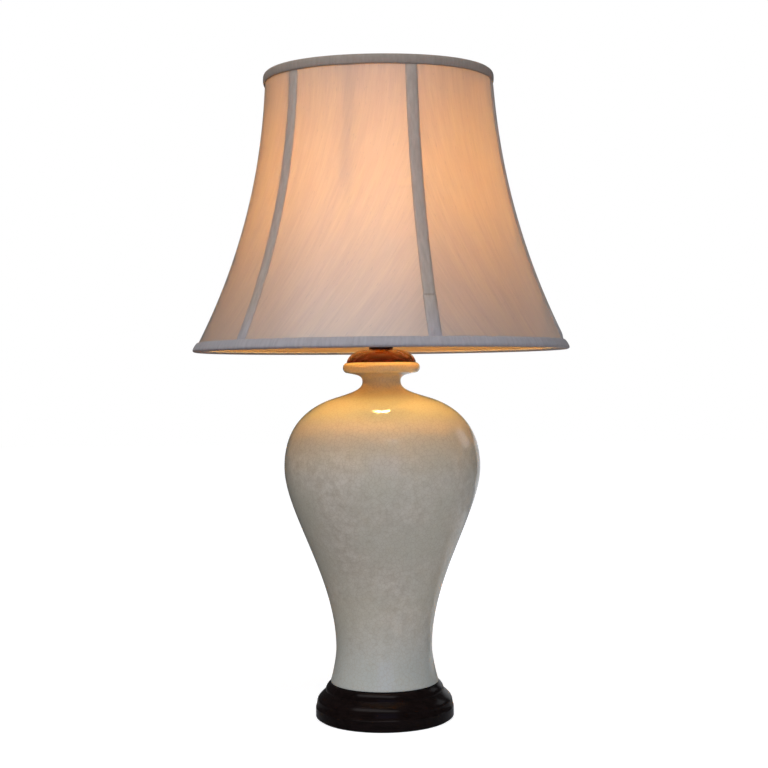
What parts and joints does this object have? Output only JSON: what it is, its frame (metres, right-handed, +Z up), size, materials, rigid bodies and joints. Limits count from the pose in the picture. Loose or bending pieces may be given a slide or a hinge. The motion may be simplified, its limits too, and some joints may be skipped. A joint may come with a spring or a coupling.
{
  "type": "table lamp with shade",
  "caption": "Table lamp: glazed baluster vase on a turned dark plinth, wood cap, lampholder with screw-in bulb, and a panelled bell shade on a wire gimbal.",
  "frame": {"origin": "centre of the felt pad's underside, on the lamp's axis", "axes": "+Z up along the lamp's axis, -Y is the front of the lamp, +Y the cord hole at the rear, +X the viewer's right"},
  "size_m": [0.4078, 0.4078, 0.692],
  "materials": {
    "felt": "matte",
    "ebonised_wood": "satin lacquer",
    "bush_rubber": "matte",
    "gasket_rubber": "matte",
    "crackle_glaze": "gloss",
    "zinc_steel": "zinc plated",
    "lacquered_brass": "satin",
    "mahogany": "gloss lacquer",
    "phenolic": "moulded gloss",
    "steatite": "matte",
    "black_glass": "gloss",
    "bulb_aluminium": "satin",
    "lit_opal_glass": "opal",
    "frame_wire": "powder coated",
    "dupion_silk": "slubbed silk",
    "lining_satin": "satin",
    "grosgrain_tape": "ribbed"
  },
  "bodies": {
    "lamp": {"felt_pad": "felt", "plinth": "ebonised_wood", "cord_bush": "bush_rubber", "vase_gasket": "gasket_rubber", "vase": "crackle_glaze", "bottom_washer": "zinc_steel", "spring_washer": "zinc_steel", "bottom_nut": "lacquered_brass", "threaded_rod": "zinc_steel", "wood_cap": "mahogany", "seat_disc": "phenolic", "spacer_tube": "lacquered_brass", "holder_cap": "phenolic", "holder_insert": "steatite", "terminal_screws": "lacquered_brass", "holder_shell": "phenolic", "screw_shell": "lacquered_brass", "centre_contact": "lacquered_brass", "lower_shade_ring": "phenolic", "shade_carrier": "lacquered_brass", "upper_shade_ring": "phenolic"},
    "switch": {"push_bar": "phenolic"},
    "bulb_foot": {"bulb_tip": "zinc_steel"},
    "bulb": {"bulb_insulator": "black_glass", "bulb_cap": "bulb_aluminium", "bulb_glass": "lit_opal_glass"},
    "shade_seat": {"gimbal_ring": "frame_wire"},
    "shade": {"gimbal_arms": "frame_wire", "top_hoop": "frame_wire", "bottom_hoop": "frame_wire", "shade_ribs": "frame_wire", "shade_panels": "dupion_silk", "shade_lining": "lining_satin", "rib_tapes": "grosgrain_tape", "top_binding": "grosgrain_tape", "bottom_binding": "grosgrain_tape"}
  },
  "joints": [
    {"name": "switch_push", "type": "slide", "parent": "lamp", "child": "switch", "axis": [1, 0, 0], "range_m": [0, 0.006]},
    {"name": "bulb_lift", "type": "slide", "parent": "lamp", "child": "bulb_foot", "axis": [0, 0, 1], "range_m": [0, 0.0109]},
    {"name": "bulb_turn", "type": "hinge", "parent": "bulb_foot", "child": "bulb", "pos_m": [0, 0, 0.473], "axis": [0, 0, 1], "range_deg": [0, 1080]},
    {"name": "shade_lift", "type": "slide", "parent": "lamp", "child": "shade_seat", "axis": [0, 0, 1], "range_m": [0, 0.18]},
    {"name": "shade_turn", "type": "hinge", "parent": "shade_seat", "child": "shade", "pos_m": [0, 0, 0.554], "axis": [0, 0, 1], "continuous": true}
  ],
  "couplings": [
    {"joint": "bulb_lift", "follows": "bulb_turn", "m_per_rad": 0.00057773}
  ]
}
